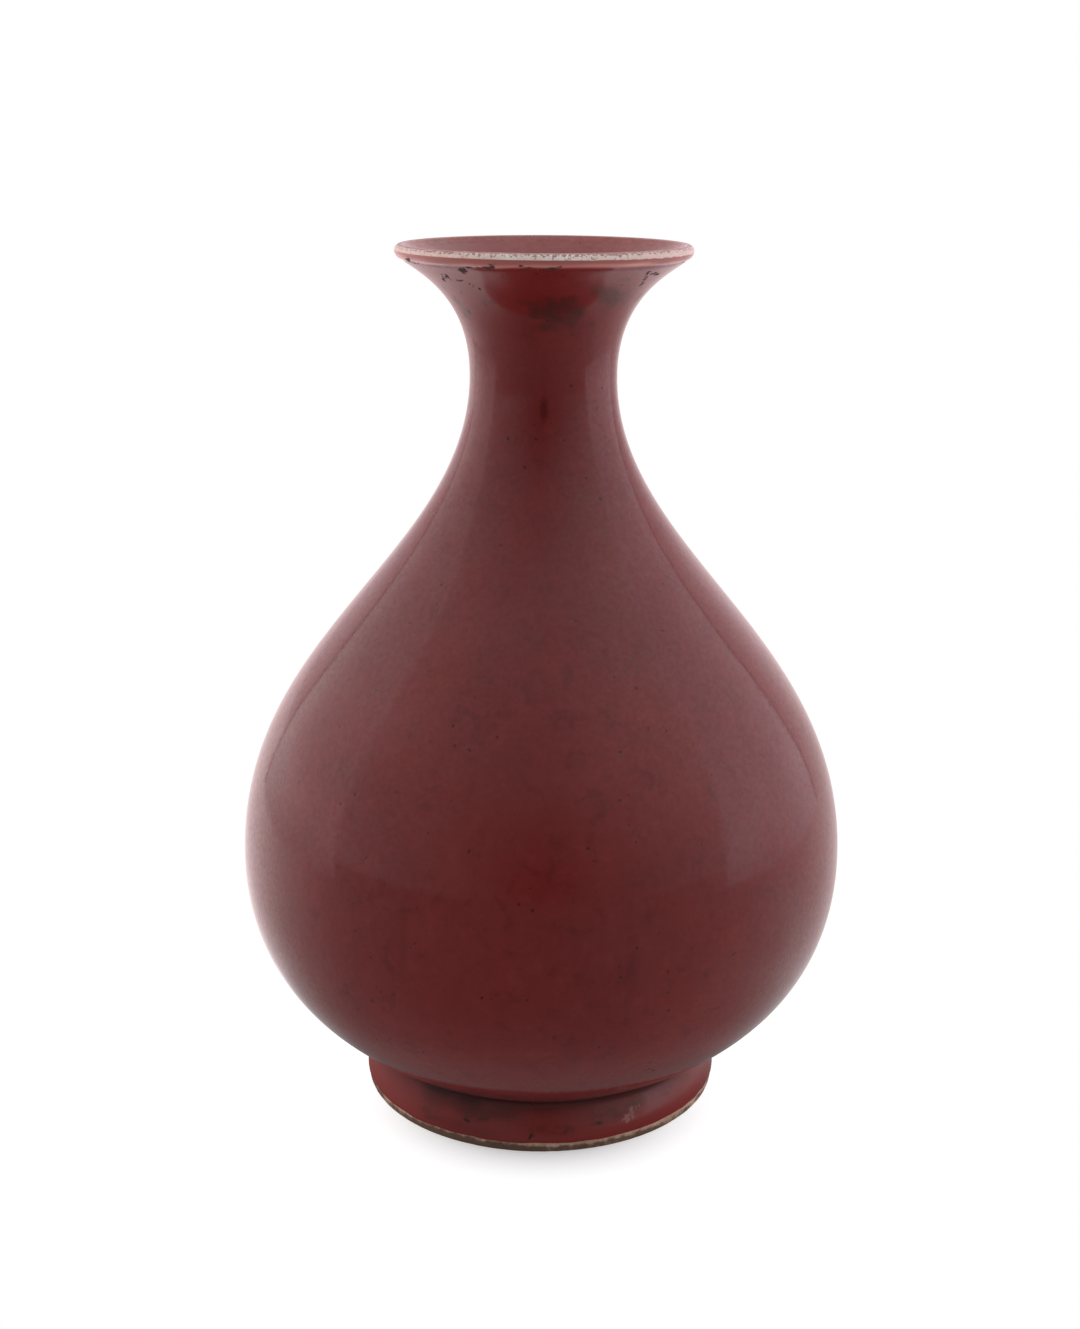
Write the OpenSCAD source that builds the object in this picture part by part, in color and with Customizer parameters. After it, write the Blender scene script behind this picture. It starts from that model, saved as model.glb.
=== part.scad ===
// Yuhuchunping vase: a pear-shaped porcelain bottle with a flared mouth, on a low ring foot.
// Four thrown sections are luted together with slip at bevelled joints, then coated with glaze.
// Every piece is turned about the Z axis, and the vase stands on z = 0.

/* [Overall] */
// Height from the standing rim to the crest of the lip
height = 300; // [260:1:360]

/* [Mouth] */
// Outside diameter of the lip
mouth_d = 98.8; // [80:0.2:120]
// Thickness of the rounded lip, glaze included
lip_t = 4.1; // [3:0.1:6]
// Lean of the wall just under the lip, in degrees from upright
lip_lean = 38; // [20:1:60]
// How far the throat holds upright above the narrowest place, as a share of the rise to the lip
throat_hold = 0.729; // [0.4:0.001:0.85]
// How far the wall holds the lip's lean below the lip, as a share of the same rise
lip_hold = 0.142; // [0.05:0.001:0.25]

/* [Neck] */
// Outside diameter of the neck at its narrowest
neck_d = 49.4; // [40:0.2:70]
// Drop from the crest of the lip to the narrowest place
neck_drop = 42.7; // [38:0.1:60]
// How far the neck holds upright below the narrowest place, as a share of the rise from the belly
neck_hold = 0.36; // [0.2:0.001:0.5]

/* [Belly] */
// Outside diameter of the belly at its widest
belly_d = 211.7; // [170:0.1:250]
// Height of the widest place above the table
belly_z = 89.6; // [75:0.1:110]
// How far the shoulder holds upright above the widest place, as a share of the rise to the neck
shoulder_hold = 0.45; // [0.3:0.001:0.55]
// How far the belly holds upright below the widest place, as a share of the rise from the crease
under_hold = 0.619; // [0.4:0.001:0.75]
// Lean of the belly where it meets the foot, in degrees from upright
under_lean = 59; // [45:1:70]
// How far the belly holds that lean above the foot, as a share of the same rise
under_reach = 0.2555; // [0.1:0.0005:0.4]

/* [Foot] */
// Outside diameter of the foot, glaze included
foot_d = 128.2; // [110:0.2:150]
// Diameter of the crease between the foot and the belly
crease_d = 120; // [100:0.2:126]
// Height of that crease above the table
foot_h = 17.2; // [14:0.1:24]
// How far the foot's wall holds upright above the glaze edge, as a share of the rise to the crease
foot_hold = 0.376; // [0.15:0.001:0.5]
// Lean of the foot's wall at the crease, in degrees from upright
crease_lean = 5; // [0:1:12]
// How far the foot's wall holds that lean below the crease, as a share of the same rise
crease_hold = 0.3; // [0.15:0.001:0.45]
// Width of the standing rim
rim_w = 6.6; // [5:0.1:9]
// Height of the bare clay between the table and the glaze edge
bare_h = 3.4; // [2:0.1:5]
// Radius that rounds the rim's outer edge
rim_outer_round = 0.6; // [0.3:0.1:1]
// Radius that rounds the rim's inner edge
rim_inner_round = 1.6; // [0.8:0.1:2.2]
// Drop from the crease to the underside of the base
base_drop = 3.5; // [2.5:0.1:5]

/* [Clay walls] */
// Thickness of the floor at its centre
floor_t = 7; // [5:0.1:9]
// Thickness of the wall where the belly leaves the foot
base_wall = 7; // [5:0.1:9]
// Thickness of the wall at the widest place
belly_wall = 5.5; // [4:0.1:8]
// Thickness of the wall at the neck
neck_wall = 4; // [3:0.1:6]
// Radius of the flat middle of the floor
floor_flat = 30; // [15:1:40]
// How far the floor's edge holds the belly's lean
floor_hold = 4; // [2:0.1:5]

/* [Glaze] */
// Thickness of every glaze coat
glaze_t = 0.5; // [0.3:0.1:0.8]
// Lower edge of the pale lip, in degrees round the lip from its outermost line
pale_from = 2; // [-20:1:30]
// Inner edge of the pale lip, in degrees round the lip from its outermost line
pale_to = 98; // [75:1:125]

/* [Luted joints] */
// Height of the joint between the lower and the upper belly, above the widest place
belly_joint_rise = 2.4; // [0:0.1:12]
// Place of the joint at the root of the neck, as a share of the rise from the widest place to the neck
neck_joint_share = 0.742; // [0.6:0.002:0.85]
// Thickness of the slip in each joint
slip_t = 1.2; // [0.8:0.1:2]
// Rise of each wall joint's bevel from the inside to the outside
bevel = 3; // [0:0.1:6]

/* [Hidden] */
$fn = 120;

// Straight steps that follow each curved stretch
wall_steps = 18;
foot_steps = 8;
floor_steps = 10;
lip_step_angle = 12;
round_steps = 5;

// Directions in the (radius, height) half plane
function rising(lean) = [sin(lean), cos(lean)];
function turn_left(v) = [-v[1], v[0]];
function unit(v) = v / norm(v);
function on_circle(centre, radius, angle) = centre + radius * [cos(angle), sin(angle)];
function reversed(list) = [for (i = [len(list) - 1 : -1 : 0]) list[i]];
function span(a, b, steps) = [for (i = [0 : steps]) a + (b - a) * i / steps];
function arc(centre, radius, a, b, steps) =
    [for (angle = span(a, b, steps)) on_circle(centre, radius, angle)];

// A cubic curve through four control points, and its direction
function bezier(p, t) =
    pow(1 - t, 3) * p[0] + 3 * pow(1 - t, 2) * t * p[1]
    + 3 * (1 - t) * t * t * p[2] + pow(t, 3) * p[3];
function bezier_way(p, t) =
    unit(pow(1 - t, 2) * (p[1] - p[0]) + 2 * (1 - t) * t * (p[2] - p[1]) + t * t * (p[3] - p[2]));

// The point that lies d to the left of two lines that meet at p, given their directions
function mitre(p, way_in, way_out, d) =
    let (a = turn_left(way_in), b = turn_left(way_out))
    p + d * (a + b) / (1 + a * b);

// Places that carry the outer profile, on the surface of the glaze
lip_r = lip_t / 2;
lip_centre = [mouth_d / 2 - lip_r, height - lip_r];
lip_end = on_circle(lip_centre, lip_r, -lip_lean);
neck_point = [neck_d / 2, height - neck_drop];
belly_point = [belly_d / 2, belly_z];
crease = [crease_d / 2, foot_h];
foot_point = [foot_d / 2, bare_h + glaze_t];
foot_rise = crease[1] - foot_point[1];
under_rise = belly_point[1] - crease[1];
shoulder_rise = neck_point[1] - belly_point[1];
flare_rise = lip_end[1] - neck_point[1];

// A curve from one place to the next, which leaves and arrives with a given lean and hold
function swept(from, lean_from, hold_from, to, lean_to, hold_to) =
    [from, from + hold_from * rising(lean_from), to - hold_to * rising(lean_to), to];
foot_curve = swept(
    foot_point, 0, foot_hold * foot_rise,
    crease, -crease_lean, crease_hold * foot_rise
);
under_curve = swept(
    crease, under_lean, under_reach * under_rise,
    belly_point, 0, under_hold * under_rise
);
shoulder_curve = swept(
    belly_point, 0, shoulder_hold * shoulder_rise,
    neck_point, 0, neck_hold * shoulder_rise
);
flare_curve = swept(
    neck_point, 0, throat_hold * flare_rise,
    lip_end, lip_lean, lip_hold * flare_rise
);
wall_curves = [under_curve, shoulder_curve, flare_curve];

// A station runs along the wall: 0 at the crease, 1 at the belly, 2 at the neck, 3 at the lip
function piece_of(s) = min(floor(s), len(wall_curves) - 1);
function skin(s) = bezier(wall_curves[piece_of(s)], s - piece_of(s));
function inward(s) = turn_left(bezier_way(wall_curves[piece_of(s)], s - piece_of(s)));
function station_at(z, low = 0, high = 3, rounds = 40) =
    let (middle = (low + high) / 2)
    rounds == 0 ? middle
    : skin(middle)[1] < z ? station_at(z, middle, high, rounds - 1)
    : station_at(z, low, middle, rounds - 1);

// The clay lies between two offsets of the surface, and the inner glaze inside those
lip_wall = lip_t - 2 * glaze_t;
function wall_at(s) = lookup(s, [[0, base_wall], [1, belly_wall], [2, neck_wall], [3, lip_wall]]);
function clay_out(s) = skin(s) + glaze_t * inward(s);
function clay_in(s) = skin(s) + (glaze_t + wall_at(s)) * inward(s);
function bore(s) = skin(s) + (2 * glaze_t + wall_at(s)) * inward(s);
function skin_line(stations) = [for (s = stations) skin(s)];
function clay_out_line(stations) = [for (s = stations) clay_out(s)];
function clay_in_line(stations) = [for (s = stations) clay_in(s)];
function bore_line(stations) = [for (s = stations) bore(s)];

// Stations of the joints: outer and inner end of the lower face, then of the upper face
function joint_stations(z) = [
    station_at(z + bevel / 2), station_at(z - bevel / 2),
    station_at(z + bevel / 2 + slip_t), station_at(z - bevel / 2 + slip_t)
];
belly_joint = joint_stations(belly_z + belly_joint_rise);
neck_joint = joint_stations(belly_z + neck_joint_share * shoulder_rise);

// Stations of each thrown section, up its outside and up its inside
lower_out = span(0, belly_joint[0], wall_steps);
lower_in = span(0, belly_joint[1], wall_steps);
upper_out = span(belly_joint[2], neck_joint[0], wall_steps);
upper_in = span(belly_joint[3], neck_joint[1], wall_steps);
neck_out = span(neck_joint[2], 3, wall_steps);
neck_in = span(neck_joint[3], 3, wall_steps);
stations_out = concat(lower_out, upper_out, neck_out);
stations_in = concat(lower_in, upper_in, neck_in);

// Clay of the foot: its outer wall, the crease and the bevelled seat under the belly
under_way = rising(under_lean);
crease_way = rising(-crease_lean);
clay_crease = mitre(crease, crease_way, under_way, glaze_t);
base_z = clay_crease[1] - base_drop;
seat_in = clay_crease - base_drop / under_way[1] * under_way;
seat_drop = -slip_t * turn_left(under_way);
ring_seat_in = seat_in + seat_drop;
ring_seat_out = clay_crease - slip_t / cross(crease_way, -under_way) * crease_way;
foot_clay_r = foot_d / 2 - glaze_t;
foot_clay_wall =
    [for (t = span(0, 1, foot_steps))
        bezier(foot_curve, t) + glaze_t * turn_left(bezier_way(foot_curve, t))];
foot_clay_out = concat(
    [[foot_clay_r, bare_h]],
    [for (p = foot_clay_wall) if (p[1] < ring_seat_out[1] - slip_t / 2) p],
    [ring_seat_out]
);
foot_surface = [for (t = span(0, 1, foot_steps)) bezier(foot_curve, t)];
glaze_roll = arc(foot_point - [glaze_t, 0], glaze_t, -90, 0, round_steps);

// The standing rim, rounded on both edges
rim_in_r = foot_clay_r - rim_w;
rim_outer_arc = arc([foot_clay_r - rim_outer_round, rim_outer_round], rim_outer_round, -90, 0, round_steps);
rim_inner_arc = arc([rim_in_r + rim_inner_round, rim_inner_round], rim_inner_round, 180, 270, round_steps);

// The recess under the base, and the glaze edge on the inner side of the foot
recess_way = unit(rim_inner_arc[0] - ring_seat_in);
recess_edge = ring_seat_in + (bare_h - ring_seat_in[1]) / recess_way[1] * recess_way;
recess_line = [[0, base_z], seat_in, ring_seat_in, recess_edge];

// The floor inside the belly
floor_z = base_z + floor_t;
floor_curve = [
    clay_in(0), clay_in(0) - floor_hold * under_way, [floor_flat, floor_z], [0, floor_z]
];
floor_ts = span(1 / floor_steps, 1, floor_steps - 1);
floor_clay = [for (t = floor_ts) bezier(floor_curve, t)];
floor_surface =
    [for (t = floor_ts) bezier(floor_curve, t) - glaze_t * turn_left(bezier_way(floor_curve, t))];

// Round the lip: arcs that share their ends with the wall and with each other
function lip_arc(radius, a, b) =
    arc(lip_centre, radius, a, b, max(1, ceil(abs(b - a) / lip_step_angle)));
lip_clay_r = lip_r - glaze_t;
lip_inner_end = 180 - lip_lean;

// The first point of a list is left out where the list before it ends there
function rest(list) = [for (i = [1 : len(list) - 1]) list[i]];

module turned(points) {
    rotate_extrude()
        polygon(points);
}

// Thrown sections and the slip that lutes them
module foot_ring() {
    color("#b9a48f")
        turned(concat(rim_inner_arc, rim_outer_arc, foot_clay_out, [ring_seat_in, recess_edge]));
}

module foot_slip_joint() {
    color("#d8cdbf")
        turned([ring_seat_in, ring_seat_out, clay_crease, seat_in]);
}

module lower_belly() {
    color("#e6ded2")
        turned(concat(
            [[0, base_z], seat_in, clay_crease],
            rest(clay_out_line(lower_out)),
            reversed(clay_in_line(lower_in)),
            floor_clay
        ));
}

module wall_slip_joint(joint) {
    color("#d8cdbf")
        turned([clay_out(joint[0]), clay_out(joint[2]), clay_in(joint[3]), clay_in(joint[1])]);
}

module belly_slip_joint() {
    wall_slip_joint(belly_joint);
}

module upper_belly() {
    color("#e6ded2")
        turned(concat(clay_out_line(upper_out), reversed(clay_in_line(upper_in))));
}

module neck_slip_joint() {
    wall_slip_joint(neck_joint);
}

module neck_and_mouth() {
    color("#e6ded2")
        turned(concat(
            clay_out_line(neck_out),
            rest(lip_arc(lip_clay_r, -lip_lean, pale_from)),
            rest(lip_arc(lip_clay_r, pale_from, pale_to)),
            rest(lip_arc(lip_clay_r, pale_to, lip_inner_end)),
            rest(reversed(clay_in_line(neck_in)))
        ));
}

// Glaze coats
module outer_red_glaze() {
    color("#5f2426")
        turned(concat(
            glaze_roll,
            rest(foot_surface),
            rest(skin_line(stations_out)),
            rest(lip_arc(lip_r, -lip_lean, pale_from)),
            reversed(concat(
                rest(foot_clay_out),
                [clay_crease],
                rest(clay_out_line(stations_out)),
                rest(lip_arc(lip_clay_r, -lip_lean, pale_from))
            ))
        ));
}

module lip_pale_glaze() {
    color("#cdbfb6")
        turned(concat(
            lip_arc(lip_r, pale_from, pale_to),
            reversed(lip_arc(lip_clay_r, pale_from, pale_to))
        ));
}

module inner_red_glaze() {
    color("#6e3034")
        turned(concat(
            lip_arc(lip_clay_r, pale_to, lip_inner_end),
            rest(reversed(clay_in_line(stations_in))),
            floor_clay,
            reversed(concat(
                lip_arc(lip_r, pale_to, lip_inner_end),
                rest(reversed(bore_line(stations_in))),
                floor_surface
            ))
        ));
}

module base_glaze() {
    first_way = unit(recess_line[1] - recess_line[0]);
    slip_way = unit(recess_line[2] - recess_line[1]);
    color("#d9d6cd")
        turned(concat(recess_line, [
            recess_edge - glaze_t * turn_left(recess_way),
            mitre(ring_seat_in, slip_way, recess_way, -glaze_t),
            mitre(seat_in, first_way, slip_way, -glaze_t),
            [0, base_z - glaze_t]
        ]));
}

foot_ring();
foot_slip_joint();
lower_belly();
belly_slip_joint();
upper_belly();
neck_slip_joint();
neck_and_mouth();
outer_red_glaze();
lip_pale_glaze();
inner_red_glaze();
base_glaze();
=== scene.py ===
"""Looks of a pear-shaped porcelain bottle: smooth glaze coats, a bare foot rim and soft studio light.

Every coat is turned again from the rings of its CAD node, fine enough for clean reflections. It carries
vertex masks that its material reads, such as stain, grime and pale, and one for glaze runs, pooled glaze
and painted shade about the foot.
"""
import math

import bmesh
import bpy
import numpy as np
from mathutils import Matrix, Vector


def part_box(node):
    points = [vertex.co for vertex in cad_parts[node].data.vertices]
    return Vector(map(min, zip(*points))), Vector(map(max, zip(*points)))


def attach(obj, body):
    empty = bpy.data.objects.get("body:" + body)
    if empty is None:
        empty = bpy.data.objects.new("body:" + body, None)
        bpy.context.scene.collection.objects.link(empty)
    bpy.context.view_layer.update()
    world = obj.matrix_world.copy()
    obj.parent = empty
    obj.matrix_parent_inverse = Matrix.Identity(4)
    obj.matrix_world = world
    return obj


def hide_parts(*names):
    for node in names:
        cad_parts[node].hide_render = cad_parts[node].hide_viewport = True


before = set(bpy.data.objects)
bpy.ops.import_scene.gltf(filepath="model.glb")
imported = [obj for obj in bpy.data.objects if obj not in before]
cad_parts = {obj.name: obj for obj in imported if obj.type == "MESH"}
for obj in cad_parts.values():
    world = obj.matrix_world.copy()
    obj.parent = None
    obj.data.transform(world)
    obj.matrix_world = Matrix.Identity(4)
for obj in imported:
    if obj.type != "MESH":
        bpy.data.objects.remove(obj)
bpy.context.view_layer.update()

MM = 0.001
SAME = 0.02 * MM          # rings closer than this are one ring
TOUCH = 0.05 * MM         # a coat's ring this close to a clay ring lies on the clay
STRAIGHT = 0.003 * MM     # a ring this close to the line between its neighbours only splits a flat stretch
CORNER = 25               # degrees: a sharper turn of a profile stays a corner
FINE = 0.1 * MM           # the step at which a curve is measured before it is sampled
LEAST_FINE = 40           # the fewest places at which a curve is measured
EASE_ROUNDS = 12          # how often a corner is pulled in to round it
EASE_PULL = 0.5           # the part of the way that each round pulls it
SEGMENTS = 256            # round the axis
SHOWN_SHARE = 0.94        # the part of a UV map's height that goes to what is in view
ON_AXIS = np.array([0, 1])   # takes a ring to the axis, where a flat face has no ring of its own
HIDDEN_CLAY = (
    "foot_slip_joint", "lower_belly", "belly_slip_joint", "upper_belly", "neck_slip_joint", "neck_and_mouth",
)
CLAY = ("foot_ring",) + HIDDEN_CLAY

AZIMUTH = np.arange(SEGMENTS) * 2 * math.pi / SEGMENTS   # 0 faces the camera, growing to its right
RIGHT = np.sin(AZIMUTH)                                  # 1 at the camera's right, -1 at its left


# Profiles, read from the frame

def rings(node):
    """(radius, height) of the circles that bound a turned CAD node."""
    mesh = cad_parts[node].data
    co = np.empty(len(mesh.vertices) * 3, np.float32)
    mesh.vertices.foreach_get("co", co)
    co = co.reshape(-1, 3).astype(float)
    rz = np.stack([np.hypot(co[:, 0], co[:, 1]), co[:, 2]], 1)
    _, first = np.unique(np.round(rz / SAME).astype(int), axis=0, return_index=True)
    found = []
    for p in rz[first]:
        if all(math.dist(p, q) > 2 * SAME for q in found):
            found.append(p)
    return np.array(found)


CLAY_RINGS = np.concatenate([rings(n) for n in CLAY])


def upward(points):
    return points[np.lexsort((points[:, 0], points[:, 1]))]


def downward(points):
    return points[np.lexsort((-points[:, 0], -points[:, 1]))]


def outward(points):
    return points[np.argsort(points[:, 0])]


def round_about(points, centre):
    """Points in order of their angle round a centre, starting straight below it."""
    away = points - centre
    return points[np.argsort((np.arctan2(away[:, 1], away[:, 0]) + math.pi / 2) % (2 * math.pi))]


def beside(p, line):
    """Distance from a point to a line of points."""
    way = np.diff(line, axis=0)
    t = np.clip(((p - line[:-1]) * way).sum(1) / (way ** 2).sum(1), 0, 1)
    return np.hypot(*(line[:-1] + t[:, None] * way - p).T).min()


def split_rings(node, order):
    """Rings of a coat's free surface, and those that lie on the clay, in order."""
    every = order(rings(node))
    shared = np.array([np.hypot(*(CLAY_RINGS - p).T).min() < TOUCH for p in every])
    touching = np.array([beside(p, every[shared]) < TOUCH for p in every])
    return every[~touching], every[touching]


def turning(points):
    """Points of a profile, without those that only split a straight stretch of it."""
    kept = [points[0]]
    for p, after in zip(points[1:-1], points[2:]):
        way = after - kept[-1]
        here = p - kept[-1]
        aside = abs(way[0] * here[1] - way[1] * here[0]) / np.hypot(*way)
        if aside > STRAIGHT:
            kept.append(p)
    return np.array(kept + [points[-1]])


def circle_of(points):
    """Centre and radius of the circle through points."""
    a = np.column_stack([2 * points, np.ones(len(points))])
    x, y, k = np.linalg.lstsq(a, (points ** 2).sum(1), rcond=None)[0]
    return np.array([x, y]), math.sqrt(k + x * x + y * y)


def lengths(points):
    return np.concatenate([[0], np.cumsum(np.hypot(*np.diff(points, axis=0).T))])


def even(step):
    """The same spacing at every height."""
    return lambda z: np.full_like(z, step)


def smooth(points, spacing):
    """A cubic spline through points, sampled about spacing(height) apart."""
    t = lengths(points)
    h = np.diff(t)
    n = len(t)
    if n < 3:
        bend = np.zeros((n, 2))
    else:
        a = np.zeros((n, n))
        b = np.zeros((n, 2))
        a[0, :2] = 1, -1
        a[-1, -2:] = 1, -1
        slope = np.diff(points, axis=0) / h[:, None]
        for i in range(1, n - 1):
            a[i, i - 1:i + 2] = h[i - 1], 2 * (h[i - 1] + h[i]), h[i]
            b[i] = 6 * (slope[i] - slope[i - 1])
        bend = np.linalg.solve(a, b)

    def at(s):
        i = np.clip(np.searchsorted(t, s) - 1, 0, n - 2)
        u = (s - t[i])[:, None]
        v = (t[i + 1] - s)[:, None]
        w = h[i][:, None]
        cubic = (bend[i] * v ** 3 + bend[i + 1] * u ** 3) / (6 * w)
        before = (points[i] / w - bend[i] * w / 6) * v
        after = (points[i + 1] / w - bend[i + 1] * w / 6) * u
        return cubic + before + after

    fine = np.linspace(0, t[-1], max(LEAST_FINE, int(t[-1] / FINE)))
    path = at(fine)
    ticks = np.concatenate([[0], np.cumsum(np.diff(fine) / spacing(path[1:, 1]))])
    count = max(1, int(round(ticks[-1])))
    return at(np.interp(np.linspace(0, ticks[-1], count + 1), ticks, fine))


def cornered(points, spacing, longest=math.inf):
    """smooth() over each stretch between corners.

    A step over longest is straight, and a stretch of its own.
    """
    points = turning(points)
    way = np.diff(points, axis=0)
    turn = np.degrees(np.arctan2(way[:, 1], way[:, 0]))
    turn = np.abs((np.diff(turn) + 180) % 360 - 180)
    straight = np.hypot(*way.T) > longest
    cut = (turn > CORNER) | straight[:-1] | straight[1:]
    cuts = [0] + [i + 1 for i in range(len(turn)) if cut[i]] + [len(points) - 1]
    parts = [smooth(points[a:b + 1], spacing) for a, b in zip(cuts[:-1], cuts[1:])]
    return np.concatenate([parts[0]] + [p[1:] for p in parts[1:]])


def eased(path, place, width):
    """The path with its corner at place rounded over width, as glaze that pools in it does."""
    away = np.hypot(*(path - place).T)
    pull = EASE_PULL * np.exp(-(away / width) ** 2)[:, None]
    pull[[0, -1]] = 0
    out = path.copy()
    for _ in range(EASE_ROUNDS):
        middle = (np.roll(out, 1, 0) + np.roll(out, -1, 0)) / 2
        out = out + pull * (middle - out)
    return out


def normals_of(path):
    """Unit normals to the right of a path, which point away from the axis where it climbs."""
    way = np.gradient(path, axis=0)
    way /= np.maximum(np.hypot(*way.T), 1e-12)[:, None]
    return np.stack([way[:, 1], -way[:, 0]], 1)


# Uneven forms that close round the axis, the same on every run

def uneven(seed, low, high):
    """A wavy line round the axis, about 1 high, with low to high waves a turn."""
    rng = np.random.RandomState(seed)
    line = np.zeros(SEGMENTS)
    for m in range(low, high + 1):
        line += rng.normal() / math.sqrt(m) * np.cos(m * AZIMUTH + rng.uniform(0, 2 * math.pi))
    return line / line.std()


def swells(seed, along, count, most_turns, wave):
    """Low swells over a coat, about 1 high: rows follow along, columns go round the axis."""
    rng = np.random.RandomState(seed)
    field = np.zeros((len(along), SEGMENTS))
    for _ in range(count):
        m = rng.randint(0, most_turns + 1)
        k = rng.uniform(-1, 1) * 2 * math.pi / wave
        field += np.cos(k * along[:, None] + m * AZIMUTH[None, :] + rng.uniform(0, 2 * math.pi))
    return field / field.std()


def bell(x):
    return np.exp(-x * x)


def ramp(x, a, b):
    """Rises softly from 0 at a to 1 at b."""
    u = np.clip((x - a) / (b - a), 0, 1)
    return u * u * (3 - 2 * u)


# Marks of use and firing, and a few of painted shade, placed by azimuth in degrees and height in millimetres

def marks(radius, height, spots):
    """Sum of soft ellipses: azimuth, height, half width and half height in mm, tilt in degrees, strength."""
    total = np.zeros_like(radius)
    for azimuth, level, wide, tall, tilt, strength in spots:
        turn = (AZIMUTH[None, :] - math.radians(azimuth) + math.pi) % (2 * math.pi) - math.pi
        x = turn * radius
        y = height - level * MM
        c = math.cos(math.radians(tilt))
        s = math.sin(math.radians(tilt))
        reach = ((c * x + s * y) / (wide * MM)) ** 2 + ((c * y - s * x) / (tall * MM)) ** 2
        total += strength * np.exp(-reach ** 2)
    return np.clip(total, 0, 1)


STAINS = (
    # front of the flare
    (-1, 282, 4.2, 3.4, 0, 0.7), (7, 283.5, 4, 2.8, 0, 0.7), (15, 283, 4.2, 3.2, 10, 0.75),
    (9, 279.5, 5.5, 1.9, 0, 0.7), (20, 280.5, 3, 2.2, 20, 0.8), (-12, 284, 3.5, 1.4, 10, 0.5),
    (-5, 280, 2.5, 1.6, 0, 0.7), (0, 275.6, 2.4, 0.9, 0, 0.6), (8, 276.8, 6, 2.2, 0, 0.62),
    (15, 278.5, 4.5, 2.2, 0, 0.62), (-12, 267.3, 1.1, 0.8, 0, 0.6),
    # its right
    (31.5, 276.6, 1.8, 0.8, 0, 0.65), (26, 288.6, 3, 1, -12, 0.7), (33, 287.3, 3.2, 1.3, -15, 0.7),
    (34, 286.2, 6, 2.6, -15, 0.65), (39, 283.6, 4, 3, 0, 0.6), (41, 285.2, 2.6, 2, -30, 0.85),
    (44, 283.5, 1.6, 1.8, 0, 0.7), (38, 291.2, 2.6, 0.7, 0, 0.5), (50, 284.5, 4, 3, 0, 0.4),
    (55, 281, 4, 1.5, 0, 0.35), (66, 284, 1.6, 3, 0, 0.8),
    # its left
    (-61, 282.5, 2, 2.2, 0, 0.7), (-62, 287, 1.5, 1, 0, 0.5), (-52, 280.5, 1.3, 0.7, 0, 0.8),
    (-61, 278.3, 1.4, 0.7, 0, 0.5), (-60, 275, 0.9, 0.5, 0, 0.6), (-52, 273.3, 1, 0.5, 0, 0.5),
    (-39, 268.5, 0.9, 0.9, 0, 0.4), (-59.5, 281, 1.9, 3.6, 0, 0.7), (-56, 279, 1.6, 3, 0, 0.55),
    (-33, 283, 3.5, 2, 10, 0.4),
    # its back
    (140, 284, 7, 3, 10, 0.6), (-118, 281, 5, 3, 0, 0.5), (208, 287, 4, 2.5, 0, 0.5),
    # over the foot
    (21, 10.5, 8, 3.4, 0, 0.5), (33, 12, 6, 3, 10, 0.45), (-20, 11.5, 7, 3, 0, 0.5), (4, 8, 9, 2.4, 0, 0.4),
    (-38, 8, 6, 3, 0, 0.45), (46, 12.5, 4, 2, 15, 0.4), (120, 10, 9, 3, 0, 0.45), (-150, 9, 8, 3, 0, 0.45),
)
GRIME = (
    # under the lip
    (-33.5, 294, 1.5, 1, 20, 1), (-29.5, 295.2, 1.6, 0.3, 0, 0.8), (-19, 295.9, 0.7, 1, 10, 1),
    (-21.5, 295.3, 1.7, 0.5, 0, 1), (-17.5, 296.6, 0.5, 0.5, 0, 0.8), (-25, 295.3, 1.2, 0.3, 0, 0.7),
    (-8, 296, 1, 0.4, -35, 0.9), (-5, 295.6, 0.9, 0.4, 0, 0.9), (3.2, 295.6, 0.7, 0.4, 0, 1),
    (5.5, 296, 1.2, 0.3, 20, 0.8), (-64, 296, 3, 0.5, 12, 0.9),
    # scratches on the left of the flare
    (-53, 290.2, 1.8, 0.3, 25, 0.7), (-46, 291.5, 0.45, 1.4, -10, 0.85), (-48, 291.2, 1.8, 0.5, 30, 0.55),
    (-48, 286, 3.4, 0.22, 27, 0.55), (-51.3, 290.7, 2.8, 0.25, 40, 0.55), (-52.3, 279.8, 0.8, 0.6, 30, 0.7),
    (-41, 290.4, 2.2, 0.3, -5, 0.75), (-34.5, 288.8, 2.4, 0.3, -25, 0.75), (-31, 287.6, 0.9, 0.3, -20, 0.6),
    (-35, 282.8, 0.7, 0.6, 0, 0.6),
    # scratches on its right
    (47.5, 293.2, 1.2, 0.5, -45, 0.9), (51, 290.8, 2.2, 0.45, -45, 0.9), (53.5, 288.9, 1, 0.6, -30, 0.9),
    (54, 292.4, 2.6, 0.6, -5, 0.6), (58, 291.8, 1, 0.4, 0, 0.6),
    # over the foot and low on the belly
    (-3, 6.2, 0.55, 1.0, 0, 0.9), (-24, 9.2, 0.9, 0.9, 0, 0.6), (-22.5, 8.8, 0.6, 0.7, 0, 0.55),
    (19, 9, 1.2, 0.5, 0, 0.6), (22, 43, 1.6, 0.6, 15, 0.55), (24, 41.6, 0.8, 0.6, 0, 0.5),
    # back and sides
    (126, 294.6, 2.5, 0.7, 5, 0.8), (163, 295.4, 1.6, 0.5, 0, 0.7), (-140, 295.2, 3, 0.5, -5, 0.7),
    (-104, 294.8, 1.5, 0.8, 0, 0.8), (88, 295.2, 2, 0.5, 0, 0.6), (150, 9, 1, 0.8, 0, 0.5),
)
SCUFFS = (
    (30, 9.5, 3.2, 2.4, 30, 0.8), (27.5, 8, 1.6, 1.4, 0, 0.6), (33.5, 11.5, 1.5, 1.6, 20, 0.5),
    (-150, 10, 2.6, 2, 0, 0.6), (95, 8, 2, 1.6, 10, 0.45),
)
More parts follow.
